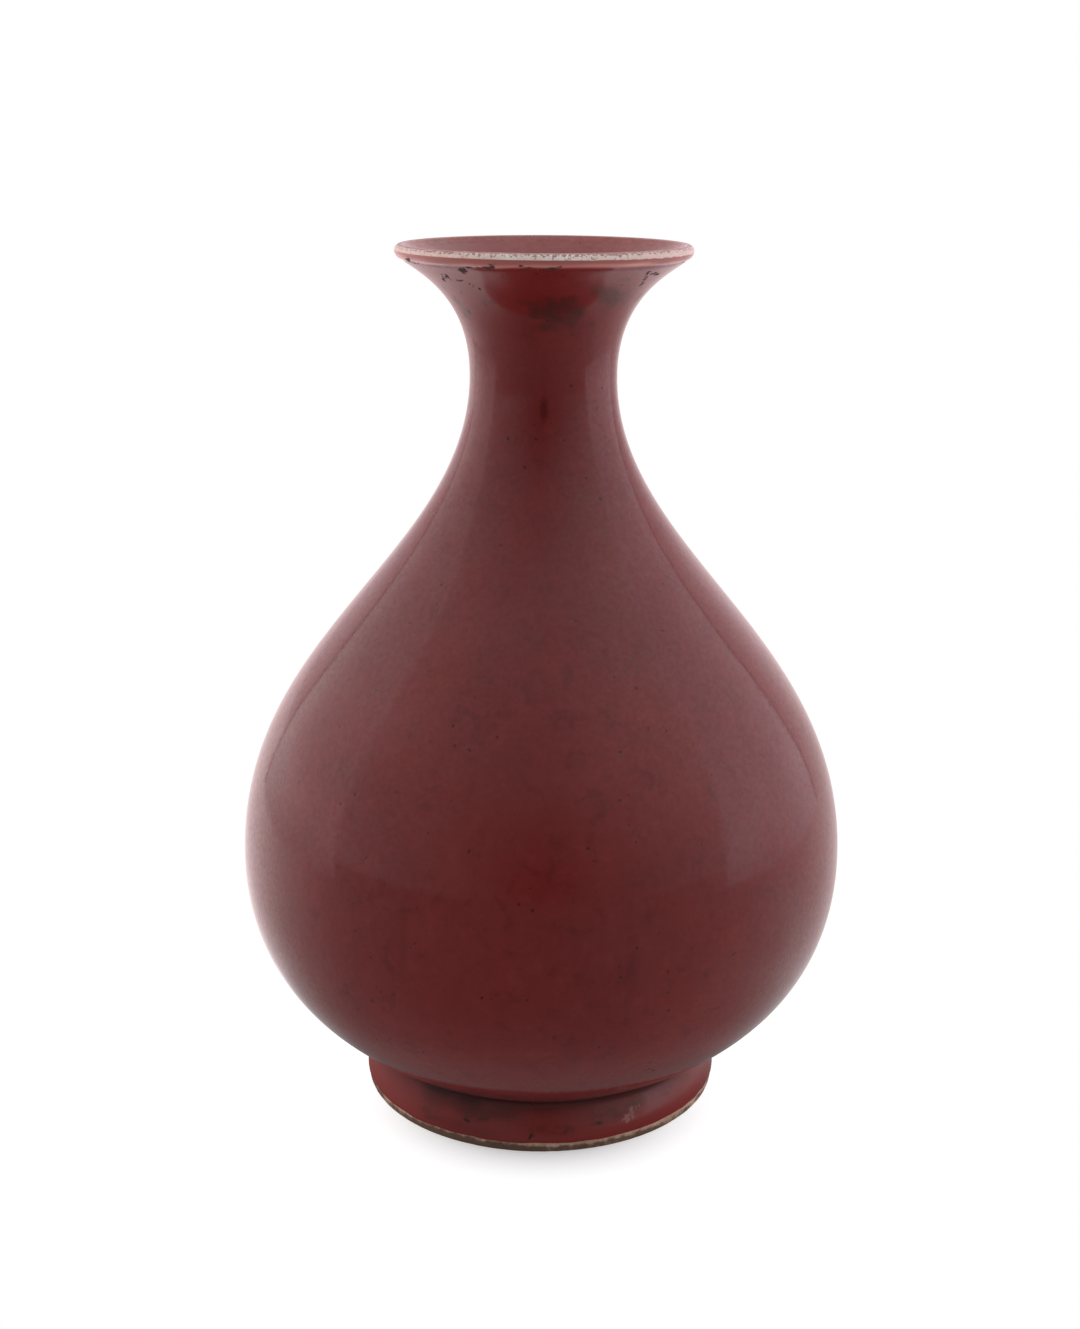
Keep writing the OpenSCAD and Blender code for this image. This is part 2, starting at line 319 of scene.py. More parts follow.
# Glaze runs on the neck and belly. The four marks 5 to 14 mm up on the left are painted shade over the foot.
RUNS_AND_FOOT_SHADE = (
    (0.5, 249, 1.3, 4, 0, 0.6), (-36, 13.5, 7, 4, 0, 0.35), (-24, 13, 6, 3.4, 0, 0.4),
    (-12, 12.6, 6, 2.2, 0, 0.3), (-26, 5.5, 14, 3.5, 0, 0.3), (15, 88, 1.6, 16, 0, 0.2),
    (-24, 92, 1.4, 14, 0, 0.15),
)


# Meshes

def turned(name, path, shown, offset=None, lift=None):
    """A closed mesh turned from a path. offset pushes each point along the normal and lift moves it up.

    The first shown points of the path are in view, and take most of the height of the UV map.
    """
    radius = np.repeat(path[:, :1], SEGMENTS, 1)
    height = np.repeat(path[:, 1:], SEGMENTS, 1)
    if offset is not None:
        n = normals_of(path)
        radius = radius + n[:, :1] * offset
        height = height + n[:, 1:] * offset
    if lift is not None:
        height = height + lift
    radius = np.maximum(radius, 0)
    co = np.stack([radius * np.sin(AZIMUTH), -radius * np.cos(AZIMUTH), height], -1).reshape(-1, 3)
    rows = len(path)
    i, j = np.meshgrid(np.arange(rows), np.arange(SEGMENTS), indexing="ij")
    below = i * SEGMENTS
    above = (i + 1) % rows * SEGMENTS
    right = (j + 1) % SEGMENTS
    quads = np.stack([below + j, below + right, above + right, above + j], -1).reshape(-1, 4)
    along = lengths(np.concatenate([path, path[:1]]))
    v = np.interp(along, [0, along[shown - 1], along[-1]], [0, SHOWN_SHARE, 1])
    u = np.arange(SEGMENTS + 1) / SEGMENTS
    uv = np.stack([
        np.stack([u[j], v[i]], -1), np.stack([u[j + 1], v[i]], -1),
        np.stack([u[j + 1], v[i + 1]], -1), np.stack([u[j], v[i + 1]], -1),
    ], 2).reshape(-1, 2)

    mesh = bpy.data.meshes.new(name)
    mesh.vertices.add(len(co))
    mesh.vertices.foreach_set("co", co.ravel())
    mesh.loops.add(quads.size)
    mesh.loops.foreach_set("vertex_index", quads.ravel().astype(np.int32))
    mesh.polygons.add(len(quads))
    mesh.polygons.foreach_set("loop_start", np.arange(0, quads.size, 4, dtype=np.int32))
    mesh.polygons.foreach_set("use_smooth", np.ones(len(quads), bool))
    mesh.update(calc_edges=True)
    layer = mesh.uv_layers.new(name="OFBake")
    layer.data.foreach_set("uv", uv.ravel())
    obj = bpy.data.objects.new(name, mesh)
    bpy.context.scene.collection.objects.link(obj)
    return obj, radius, height


def mask(obj, name, values):
    """Stores a value from 0 to 1 at every point. A single row of values holds at every height."""
    rows = len(obj.data.vertices) // SEGMENTS
    values = np.broadcast_to(np.clip(values, 0, 1), (rows, SEGMENTS))
    layer = obj.data.attributes.new(name, "FLOAT", "POINT")
    layer.data.foreach_set("value", values.astype(np.float32).ravel())


def weld(obj):
    """Joins the points that meet on the axis."""
    mesh = bmesh.new()
    mesh.from_mesh(obj.data)
    bmesh.ops.remove_doubles(mesh, verts=mesh.verts, dist=1e-6)
    mesh.to_mesh(obj.data)
    mesh.free()


# Nodes

class Value:
    """An output of a node. Its sums, products and powers are Math nodes."""

    def __init__(self, socket):
        self.socket = socket
        self.tree = socket.id_data

    def other(self, output):
        """Another output of the same node."""
        return Value(self.socket.node.outputs[output])

    def __add__(self, number):
        return calculate(self.tree, "ADD", self, number)

    def __sub__(self, number):
        return calculate(self.tree, "SUBTRACT", self, number)

    def __rsub__(self, number):
        return calculate(self.tree, "SUBTRACT", number, self)

    def __mul__(self, number):
        return calculate(self.tree, "MULTIPLY", self, number)

    def __truediv__(self, number):
        return calculate(self.tree, "DIVIDE", self, number)

    def __pow__(self, number):
        return calculate(self.tree, "POWER", self, number)

    __radd__ = __add__
    __rmul__ = __mul__

    def at_least(self, number):
        return calculate(self.tree, "MAXIMUM", self, number)

    def at_most(self, number):
        return calculate(self.tree, "MINIMUM", self, number)

    def less_than(self, number):
        return calculate(self.tree, "LESS_THAN", self, number)

    def climbing(self, start, end):
        """0 at start, 1 at end, and straight between."""
        return calculate(self.tree, "DIVIDE", self - start, end - start, use_clamp=True)


def wire(value, socket):
    """Links a Value to an input, or sets a plain value on it."""
    if isinstance(value, Value):
        value.tree.links.new(value.socket, socket)
    else:
        socket.default_value = value


def made(tree, kind, inputs, output=0, **settings):
    """An output of a new node. inputs holds what goes into it, by the name or number of the socket."""
    node = tree.nodes.new(kind)
    for name, setting in settings.items():
        setattr(node, name, setting)
    for place, value in inputs.items():
        wire(value, node.inputs[place])
    return Value(node.outputs[output])


def calculate(tree, operation, a, b, **settings):
    """A Math node."""
    return made(tree, "ShaderNodeMath", {0: a, 1: b}, operation=operation, **settings)


def mixed(tree, factor, a, b):
    """Colour a where factor is 0, and b where it is 1. A Mix node has its colours in sockets 6 and 7."""
    return made(tree, "ShaderNodeMix", {0: factor, 6: a, 7: b}, 2, data_type="RGBA")


def parts(tree, vector):
    """X, Y and Z of a vector."""
    x = made(tree, "ShaderNodeSeparateXYZ", {0: vector})
    return x, x.other(1), x.other(2)


def linear(*screen):
    """A colour given as it looks on screen, 0 to 255."""
    light = []
    for level in screen:
        c = level / 255
        light.append(c / 12.92 if c <= 0.04045 else ((c + 0.055) / 1.055) ** 2.4)
    return (*light, 1)


class Paint:
    """A material, its tone so far, and short calls that add its nodes. Sizes are in millimetres."""

    def __init__(self, name, specular=0.5):
        self.material = bpy.data.materials.new(name)
        self.material.use_nodes = True
        self.tree = self.material.node_tree
        self.shader = self.tree.nodes["Principled BSDF"]
        self.set("Specular IOR Level", specular)
        self.set("IOR", 1.5)
        self.place = made(self.tree, "ShaderNodeTexCoord", {}, "Object")
        self.tone = None

    def set(self, name, value):
        wire(value, self.shader.inputs[name])

    def noise(self, size, detail=3.0, rough=0.5, stretch=None, warp=0.0):
        """Noise from 0 to 1, with features about size across."""
        at = self.place
        if stretch:
            at = made(self.tree, "ShaderNodeVectorMath", {0: at, 1: stretch}, operation="MULTIPLY")
        return made(self.tree, "ShaderNodeTexNoise", {
            "Vector": at, "Scale": 1 / (size * MM), "Detail": detail, "Roughness": rough, "Distortion": warp,
        }, "Fac")

    def ragged(self, size, reach):
        """The place, shifted by up to about reach in a noise of features size across."""
        shift = made(self.tree, "ShaderNodeTexNoise", {
            "Vector": self.place, "Scale": 1 / (size * MM), "Detail": 2,
        }, "Color")
        most = (2 * reach * MM,) * 3
        return made(self.tree, "ShaderNodeVectorMath", {0: shift, 1: most, 2: self.place},
                    operation="MULTIPLY_ADD")

    def dots(self, cell, radius, share):
        """Ragged specks: share of the cells hold one, of up to radius. share may vary."""
        drawn = made(self.tree, "ShaderNodeTexVoronoi", {
            "Vector": self.ragged(1.4 * radius, 0.9 * radius), "Scale": 1 / (cell * MM),
        }, "Color")
        draw = made(self.tree, "ShaderNodeSeparateColor", {0: drawn})
        size = (0.35 + 0.65 * draw) * (radius / cell)
        body = self.span(drawn.other("Distance") / size, 1.0, 0.3)
        return body * draw.other(1).less_than(share)

    def span(self, value, a, b, low=0.0, high=1.0):
        """value taken from a..b to low..high, with soft ends."""
        return made(self.tree, "ShaderNodeMapRange", {
            "Value": value, "From Min": a, "From Max": b, "To Min": low, "To Max": high,
        }, "Result", interpolation_type="SMOOTHSTEP")

    def mask(self, name):
        return made(self.tree, "ShaderNodeAttribute", {}, "Fac", attribute_name=name)

    def frayed(self, name, size, by):
        """A mask that a noise of features size across makes uneven."""
        return self.mask(name) + self.span(self.noise(size, 3, 0.6), 0.2, 0.8, -by, by)

    def clouded(self, size, rough, a, b):
        """Starts the tone with clouds of two colours."""
        self.tone = mixed(self.tree, self.span(self.noise(size, 3, rough), 0.3, 0.7), a, b)

    def lay(self, amount, colour):
        """Lays a colour over the tone."""
        self.tone = mixed(self.tree, amount, self.tone, colour)

    def bump(self, height, depth):
        """height from 0 to 1 stands for depth. Later calls lie over earlier ones."""
        inputs = {"Strength": 1.0, "Distance": depth * MM, "Height": height}
        before = self.shader.inputs["Normal"].links
        if before:
            inputs["Normal"] = Value(before[0].from_socket)
        self.set("Normal", made(self.tree, "ShaderNodeBump", inputs))

    def finished(self):
        """The material, coloured with the tone."""
        self.set("Base Color", self.tone)
        return self.material


class RedGlaze(Paint):
    """Copper-red glaze: clouded, finely streaked and mottled, with pits."""

    def __init__(self, name, red, deep):
        super().__init__(name, specular=0.36)
        self.cloud = self.noise(6, 5, 0.65)
        runs = self.noise(4, 3, 0.55, stretch=(1, 1, 0.12))
        grain = self.noise(1.2, 3, 0.65)
        mottle = self.noise(7.5, 4, 0.62, warp=0.6)
        gathered = self.span(self.noise(70, 2, 0.5), 0.35, 0.65, 0.25, 0.95)
        self.pits = self.dots(5.2, 0.9, gathered)
        pinholes = self.dots(3.4, 0.5, gathered)
        broad = self.span(self.noise(45, 2, 0.5, warp=0.4), 0.3, 0.7)
        self.tone = mixed(self.tree, broad, red, deep)
        self.lay(self.span(self.cloud, 0.4, 0.72, 0, 0.5), deep)
        self.lay(self.span(runs, 0.5, 0.8, 0, 0.22), linear(112, 42, 42))
        self.lay(self.span(grain, 0.35, 0.75, 0, 0.14), linear(70, 20, 21))
        self.lay(self.span(mottle, 0.52, 0.72, 0, 0.42), linear(78, 15, 15))
        self.lay(self.span(mottle, 0.46, 0.28, 0, 0.25), linear(124, 46, 42))
        self.lay(0.5 * pinholes, linear(50, 18, 18))
        self.lay(0.9 * self.pits, linear(50, 12, 10))

    def gloss(self, dirt=0.0, coat=1.0):
        """Gloss that varies from place to place.

        dirt from 0 to 1 makes it matt, and coat is the part of its shine that it keeps.
        """
        dirt = (0.15 * self.pits).at_least(dirt)
        clean = 1 - dirt
        fine = 0.07 + 0.32 * self.span(self.noise(1.6, 3, 0.7), 0.3, 0.7)
        patchy = fine + self.span(self.noise(30, 3, 0.6), 0.35, 0.7, 0, 0.14)
        self.set("Coat Weight", patchy * clean * coat)
        self.set("Coat Roughness", 0.12)
        self.set("Sheen Weight", 0.05)
        self.set("Sheen Roughness", 0.4)
        self.set("Sheen Tint", (1, 0.32, 0.38, 1))
        self.set("Roughness", 0.85 * dirt + clean * self.span(self.cloud, 0.2, 0.8, 0.08, 0.14))
        self.bump(self.noise(20, 2, 0.5), 0.12)
        self.bump(self.noise(1.6, 2, 0.5), 0.006)
        self.bump(1 - self.pits, 0.03)


# What the rest is measured from: the lip's circle, the lower edge of the glaze and the crease over the foot

lip_free, lip_on_clay = split_rings("lip_pale_glaze", upward)
lip_centre, lip_r = circle_of(lip_free)
lip_path = cornered(round_about(lip_free, lip_centre), even(0.22 * MM))
top = lip_centre[1] + lip_r

outer_free, outer_on_clay = split_rings("outer_red_glaze", upward)
glaze_edge = outer_on_clay[0]
foot_part = outer_free[outer_free[:, 1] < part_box("foot_slip_joint")[1].z + 2 * MM]
crease = foot_part[np.argmin(foot_part[:, 0])]


def outer_spacing(z):
    """Wide on the belly, close at the lip and at the foot."""
    near_lip = ramp(z, top - 16 * MM, top - 6 * MM)
    near_foot = 1 - ramp(z, crease[1] + 2 * MM, crease[1] + 12 * MM)
    return MM * (1.75 - 1.45 * near_lip - 1.15 * near_foot)


outer_face = cornered(np.concatenate([[glaze_edge], outer_free]), outer_spacing)
outer_face = eased(outer_face, crease, 1.5 * MM)
outer_back = turning(outer_on_clay)[::-1][:-1]
outer_path = np.concatenate([outer_face, outer_back])


def only_face(field):
    """A field over the rows in view, and nothing on the rows that lie on the clay."""
    return np.concatenate([field, np.zeros((len(outer_back), SEGMENTS))])


# The outer coat: a hand-thrown unevenness, a small rolled edge under the lip, a wavy edge at the foot

SWELL = 0.045             # mm: how uneven the wall is
EDGE_ROLL = 0.16          # mm: how far the rolled edge stands out
EDGE_GROOVE = 0.14        # mm: how deep the groove below it is

along = lengths(outer_face)
on_lip = np.hypot(*(outer_face - lip_centre).T) < lip_r + 0.01 * MM
from_lip = (along - along[np.argmax(on_lip)])[:, None] / MM + 0.18 * uneven(12, 2, 18)
settled = ramp(along, 1 * MM, 8 * MM) * (1 - ramp(along, along[-1] - 6 * MM, along[-1] - 1 * MM))
roll = EDGE_ROLL * bell((from_lip + 0.65) / 0.7) - EDGE_GROOVE * bell((from_lip + 2.3) / 0.8)
roll_line = 0.75 + 0.25 * uneven(11, 2, 14)
push = SWELL * swells(21, along, 40, 9, 70 * MM) * settled[:, None] + roll * roll_line
edge_line = 0.12 * uneven(31, 2, 30) + 0.07 * uneven(32, 20, 60) - 0.5 * ramp(-RIGHT, 0.3, 0.8)
edge_drop = edge_line * bell((outer_face[:, 1:] - glaze_edge[1]) / (3.5 * MM))

outer, outer_radius, outer_height = turned(
    "outer_glaze_coat", outer_path, len(outer_face),
    offset=only_face(push * MM), lift=only_face(edge_drop * MM),
)

# Heights on it in millimetres, and the way along it from the crease
height_mm = outer_height / MM
above_top = height_mm - top / MM
above_crease = height_mm - crease[1] / MM
above_edge = height_mm - glaze_edge[1] / MM - edge_line
past_crease = (along - along[np.argmin(np.hypot(*(outer_face - crease).T))]) / MM

crevice = only_face(bell((from_lip + 2.4) / 0.7) * ramp(uneven(13, 3, 26), 0.2, 1.6))
ridge = only_face(bell((from_lip + 0.65) / 0.75) * (0.7 + 0.3 * uneven(14, 3, 20)))
# Painted shade under the belly: the colour darkens from just below the crease to about 25 mm above it. At
# the crease itself the darkening is both glaze pooled thick and painted shade.
shade_under_belly = ramp(past_crease, -4, 1) * (1 - ramp(past_crease, 18, 32))
crease_pool_and_shade = 0.6 * bell((past_crease - 1) / 6) + 0.5 * shade_under_belly
crease_pool_and_shade = only_face(np.repeat(crease_pool_and_shade[:, None], SEGMENTS, 1))

mask(outer, "stain", marks(outer_radius, outer_height, STAINS))
mask(outer, "grime", marks(outer_radius, outer_height, GRIME) + 0.4 * crevice)
mask(outer, "scuff", marks(outer_radius, outer_height, SCUFFS))
mask(outer, "pool_and_shade", marks(outer_radius, outer_height, RUNS_AND_FOOT_SHADE) + crease_pool_and_shade)
mask(outer, "pale", 0.62 * ridge + 0.38 * ramp(above_top, -5.2, -2.4))
mask(outer, "rim", ramp(above_top + 0.35 * RIGHT, -2.5, -1.7))
mask(outer, "edge", bell((above_edge - 0.7) / 0.8))
mask(outer, "foot", 1 - ramp(above_crease, -1, 3))
mask(outer, "dull", ramp(-RIGHT, -0.2, 0.5) * (1 - ramp(above_crease, -1.5, 1)))
on_flare = ramp(height_mm, 266, 279) * (1 - ramp(height_mm, 292, 296))
mask(outer, "flare", (0.75 - 0.25 * RIGHT) * on_flare)

paint = RedGlaze("copper_red_glaze", linear(112, 34, 33), linear(102, 29, 29))
# Painted light: the foot wall below the crease is laid a lighter red, standing in for the floor's light on
# it.
paint.lay(0.7 * paint.mask("foot"), linear(137, 46, 42))
# Nearly black red: glaze runs and pooled glaze, and painted shade under the belly, in the crease and on the
# left of the foot.
paint.lay(0.95 * paint.mask("pool_and_shade"), linear(50, 6, 6))
# Painted highlight: a lighter red line just above the glaze's lower edge, where its rolled end catches the
# light.
paint.lay(0.5 * paint.mask("edge"), linear(134, 32, 34))
paint.lay(paint.mask("pale"), linear(208, 136, 128))
paint.lay(paint.span(paint.frayed("rim", 3, 0.2), 0.55, 1.0, 0, 0.9), linear(230, 214, 206))
coarse = paint.span(paint.noise(5, 5, 0.75, stretch=(1, 1, 1.7)), 0.22, 0.78, -0.7, 0.7)
stain = paint.span(0.9 * paint.mask("stain") + coarse, -0.25, 1.3, 0, 0.9)
stain = stain * paint.span(paint.mask("stain"), 0.02, 0.42)
paint.lay(stain, linear(70, 27, 19))
fine = paint.span(paint.noise(1.1, 3, 0.6), 0.25, 0.75, -0.4, 0.4)
grime = paint.span(paint.mask("grime") + fine, 0.18, 0.6, 0, 0.92)
grime = grime * paint.span(paint.mask("grime"), 0.03, 0.25)
paint.lay(grime, linear(46, 30, 25))
paint.lay(paint.span(paint.mask("scuff") + fine, 0.5, 0.95, 0, 0.35), linear(170, 130, 126))
dirt = grime.at_least(0.28 * stain).at_least(0.85 * paint.mask("dull"))
paint.gloss(dirt, 1 - 0.9 * paint.mask("flare"))
outer.data.materials.append(paint.finished())


# The pale lip: cream where the red has run off, flecked brown along its inner edge

lip_back = round_about(lip_on_clay, lip_centre)[::-1]
lip_whole = np.concatenate([lip_path, lip_back])
lip, lip_radius, lip_height = turned("lip_glaze_coat", lip_whole, len(lip_path))
turn_up = np.degrees(np.arctan2(lip_height - lip_centre[1], lip_radius - lip_centre[0]))
mask(lip, "inner", ramp(turn_up, 32, 66))
mask(lip, "lower", 1 - ramp(turn_up + 11 * RIGHT, -10, 14))
mask(lip, "line", bell((turn_up - 44) / 13))
mask(lip, "tinge", ramp(np.abs(RIGHT), 0.1, 0.75))
mask(lip, "wear", ramp(uneven(41, 1, 9), -0.4, 1.6))

paint = Paint("pale_lip_glaze")
paint.clouded(6, 0.6, linear(238, 225, 219), linear(224, 204, 194))
paint.lay(paint.span(paint.noise(1.2, 2, 0.6), 0.45, 0.8, 0, 0.35), linear(176, 150, 138))
paint.lay(paint.span(paint.frayed("lower", 3, 0.2), 0.35, 0.95, 0, 0.8), linear(190, 110, 104))
paint.lay(0.65 * paint.mask("tinge"), linear(204, 166, 156))
fleck = paint.span(paint.noise(1.1, 3, 0.65), 0.3, 0.72)
fleck = fleck + 0.46 * paint.mask("line") + 0.14 * paint.mask("wear")
paint.lay(paint.span(fleck, 0.86, 1.02, 0, 0.8), linear(134, 80, 60))
paint.lay(paint.span(paint.frayed("inner", 2.6, 0.15), 0.6, 1.05, 0, 0.9), linear(134, 66, 64))
paint.set("Roughness", paint.span(paint.noise(2, 3, 0.6), 0.3, 0.8, 0.18, 0.34))
paint.bump(paint.noise(1.4, 3, 0.55), 0.03)
lip.data.materials.append(paint.finished())


# The inner coat, from the lip down to the floor

def inner_spacing(z):
    """Close at the mouth, wide below."""
    return MM * (3.2 - 2.6 * ramp(z, top - 40 * MM, top - 8 * MM))


inner_free, inner_on_clay = split_rings("inner_red_glaze", downward)
inner_face = cornered(inner_free, inner_spacing)
inner_path = np.concatenate([inner_face, turning(inner_on_clay)[::-1]])
inner, _, inner_height = turned("inner_glaze_coat", inner_path, len(inner_face))
mask(inner, "rim", ramp(inner_height, top - 3.2 * MM, top - 0.2 * MM))
weld(inner)

paint = RedGlaze("inner_copper_red_glaze", linear(139, 45, 44), linear(126, 40, 39))
paint.lay(paint.span(paint.frayed("rim", 2.4, 0.3), 0.35, 1.2, 0, 0.55), linear(160, 88, 82))
paint.gloss()
inner.data.materials.append(paint.finished())


# The bare foot ring, smooth on its standing rim and a little nicked along its edges

foot_rings = rings("foot_ring")
foot_line = round_about(foot_rings, foot_rings.mean(0))
foot_path = cornered(np.concatenate([foot_line, foot_line[:1]]), even(0.45 * MM), 2 * MM)[:-1]
bare = (foot_path[:, 1:] < glaze_edge[1]) & (foot_path[:, 1:] > 0.15 * MM)
nicks = swells(51, lengths(foot_path), 60, 60, 6 * MM)
nicked = np.where(bare, -0.05 * MM * np.abs(nicks), 0)
ring, _, ring_height = turned("bare_foot_ring", foot_path, len(foot_path), offset=nicked)
mask(ring, "low", 1 - ramp(ring_height, 1.5 * MM, 3.1 * MM))
mask(ring, "dirt", ramp(uneven(52, 1, 8), -0.6, 1.8))

paint = Paint("bare_biscuit", specular=0.3)
paint.clouded(12, 0.6, linear(206, 172, 148), linear(186, 150, 126))
paint.lay(paint.span(paint.noise(1.2, 4, 0.65), 0.45, 0.8, 0, 0.5), linear(124, 90, 70))
# Darker toward the bottom of the rim, in uneven patches round it, and in a fine noise.
darkening = paint.span(paint.noise(3, 4, 0.65), 0.25, 0.75, -0.3, 0.3)
darkening = darkening + 0.6 * paint.mask("low") + 0.5 * paint.mask("dirt")
paint.lay(paint.span(darkening, 0.25, 0.85, 0, 0.85), linear(86, 58, 44))
paint.lay(0.7 * paint.dots(2, 0.4, 0.5), linear(52, 38, 32))
paint.set("Roughness", paint.span(paint.noise(1.5, 3, 0.6), 0.3, 0.8, 0.62, 0.85))
paint.bump(paint.noise(0.6, 4, 0.65), 0.08)
ring.data.materials.append(paint.finished())


# The plain glaze in the recess under the base

base_free, base_on_clay = split_rings("base_glaze", outward)
base_line = np.concatenate([base_free[:1] * ON_AXIS, base_free, base_on_clay[-1:]])
base_face = cornered(base_line, even(0.6 * MM), 2 * MM)
for place in base_free[:2]:
    base_face = eased(base_face, place, 1.2 * MM)
base_path = np.concatenate([base_face, base_on_clay[::-1][1:], base_on_clay[:1] * ON_AXIS])
base, _, _ = turned("base_glaze_coat", base_path, len(base_face))
weld(base)

paint = Paint("pale_base_glaze")
paint.clouded(30, 0.5, linear(216, 213, 202), linear(203, 201, 188))
paint.lay(paint.span(paint.noise(4, 4, 0.6), 0.5, 0.8, 0, 0.3), linear(186, 178, 160))
paint.lay(0.7 * paint.dots(6, 0.7, 0.5), linear(96, 70, 52))
paint.set("Roughness", paint.span(paint.noise(10, 3, 0.6), 0.3, 0.7, 0.14, 0.24))
paint.bump(paint.noise(1.8, 2, 0.5), 0.01)
base.data.materials.append(paint.finished())


# Clay and slip inside the wall keep their CAD solids

def body_clay(name, light, dark, grit):
    paint = Paint(name, specular=0.25)
    paint.clouded(20, 0.55, light, dark)
    paint.lay(grit * paint.dots(3, 0.4, 0.4), linear(120, 104, 88))
    paint.set("Roughness", paint.span(paint.noise(2, 3, 0.6), 0.3, 0.7, 0.7, 0.9))
    paint.bump(paint.noise(0.8, 3, 0.6), 0.05)
    return paint.finished()


porcelain = body_clay("porcelain_body", linear(236, 231, 222), linear(226, 219, 208), 0.4)
slip = body_clay("luting_slip", linear(222, 214, 203), linear(210, 200, 188), 0.7)
for node in HIDDEN_CLAY:
    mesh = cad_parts[node].data
    mesh.materials.clear()
    mesh.materials.append(slip if node.endswith("slip_joint") else porcelain)

for piece, node, slot in (
    (outer, "outer_red_glaze", "red_glaze"),
    (lip, "lip_pale_glaze", "lip_glaze"),
    (inner, "inner_red_glaze", "inner_glaze"),
    (ring, "foot_ring", "biscuit"),
    (base, "base_glaze", "base_glaze"),
):
    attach(piece, "root")
    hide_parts(node)


# Studio: a pale floor, two soft boxes at the sides and a room that darkens toward the camera

WHITE = (1, 1, 1, 1)
RIM_BLACK = (0.02, 0.02, 0.02, 1)


def bare_material(name):
    """A material without nodes."""
    material = bpy.data.materials.new(name)
    material.use_nodes = True
    material.node_tree.nodes.clear()
    return material


def surface(tree, shader):
    out = tree.nodes.new("ShaderNodeOutputMaterial")
    wire(shader, out.inputs["Surface"])


def emission(tree, strength, colour=WHITE):
    return made(tree, "ShaderNodeEmission", {"Strength": strength, "Color": colour})


def diffuse(tree, colour):
    return made(tree, "ShaderNodeBsdfDiffuse", {"Color": colour})


def position(tree):
    """X, Y and Z of the place that is lit."""
    return parts(tree, made(tree, "ShaderNodeNewGeometry", {}, "Position"))


def light_path(tree, kind):
    return made(tree, "ShaderNodeLightPath", {}, kind)


def flat(name, corners, material):
    """A stage piece of one face."""
    mesh = bpy.data.meshes.new(name)
    mesh.from_pydata(corners, [], [tuple(range(len(corners)))])
    mesh.materials.append(material)
    obj = bpy.data.objects.new(name, mesh)
    bpy.context.scene.collection.objects.link(obj)
    return obj


FLOOR_HALF = 6.0
NOWHERE = 0.001           # keeps the middle of the floor from a division by nothing

# The floor that the camera sees: white, with a soft shadow round the foot
SHADOW_GLOW = 0.76        # the part of its white that the floor keeps in the shadow
FRONT_SHADOW = 0.38       # how much darker the shadow is on the camera's side
SHADOW_TONE = 0.7         # the part that the light gives it near the foot
SHADOW_REACH = 0.032      # how far from the foot the shadow fades out

# The floor that lights the glaze and shows in it: dim toward the camera, paler at the sides and behind
FLOOR_SIDE = 0.63         # its light at the sides
BACK_GAIN = 0.26          # what it gains with depth, which is 1 straight behind and -1 straight in front
BACK_FULL = 0.5           # the depth at which it stops gaining
FRONT_LOSS = 0.72         # what it loses toward the camera
FRONT_EASE = 0.22         # and what it wins back straight in front
LEFT_GAIN = 0.55          # what it gains behind on the left
RIGHT_LOSS = 0.54         # what it loses behind on the right
RIGHT_START = 0.4         # where that loss begins, 1 being straight to the right
FRONT_RIGHT = 0.14        # what it gains in front on the right
FOOT_LIGHT = 0.1          # its light at the foot
FOOT_GAIN = 0.1           # what it gains from there
FOOT_REACH = 0.03         # within this distance from the foot
OPENING = (0.085, 0.195)  # distances from the axis: the bottle hides it at the first, and not at the second
OPEN_SIDE = 0.036         # how much nearer these are beside the bottle
OPEN_BACK = 0.084         # and how much nearer still straight behind it
BESIDE = (-0.6, -0.1)     # the depths at which beside begins and is reached
FLOOR_EXTRA = 0.58        # how much more the floor lights the glaze than the glaze mirrors it
EXTRA_LOW = 0.3           # the part of that at the foot
EXTRA_REACH = 0.045       # how far from the foot all of it is reached
FLOOR_TINT = (1.25, 1.01, 1.03, 1)   # its colour behind the bottle

floor_material = bare_material("studio_floor")
tree = floor_material.node_tree
x, y, _ = position(tree)
far = (x ** 2 + y ** 2) ** 0.5
side = x / far.at_least(NOWHERE)
depth = y / far.at_least(NOWHERE)
front = depth.climbing(0, -1)
behind = depth.at_least(0.0)
from_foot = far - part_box("foot_ring")[1].x

near_foot = from_foot.climbing(SHADOW_REACH, 0)
kept = SHADOW_GLOW - FRONT_SHADOW * front ** 2
glow = emission(tree, 1 - (1 - kept) * near_foot ** 2)
shade = diffuse(tree, SHADOW_TONE * near_foot)
seen = made(tree, "ShaderNodeAddShader", {0: glow, 1: shade})

mirrored = FLOOR_SIDE + BACK_GAIN * behind.at_most(BACK_FULL)
mirrored = mirrored - FRONT_LOSS * front + FRONT_EASE * front ** 2
mirrored = mirrored + LEFT_GAIN * behind * side.at_most(0.0) ** 2
mirrored = mirrored - RIGHT_LOSS * behind * (side - RIGHT_START).at_least(0.0)
mirrored = mirrored + FRONT_RIGHT * front * side.at_least(0.0)
beside_foot = FOOT_LIGHT + FOOT_GAIN * from_foot.climbing(0, FOOT_REACH)
reach = far + OPEN_SIDE * depth.climbing(*BESIDE) + OPEN_BACK * behind
mirrored = beside_foot + reach.climbing(*OPENING) * (mirrored - beside_foot)
extra = FLOOR_EXTRA * (EXTRA_LOW + (1 - EXTRA_LOW) * from_foot.climbing(0, EXTRA_REACH))
extra = extra * (1 - light_path(tree, "Is Glossy Ray"))
mirror = emission(tree, mirrored + extra, mixed(tree, behind, WHITE, FLOOR_TINT))
by_camera = light_path(tree, "Is Camera Ray")
surface(tree, made(tree, "ShaderNodeMixShader", {0: by_camera, 1: mirror, 2: seen}))
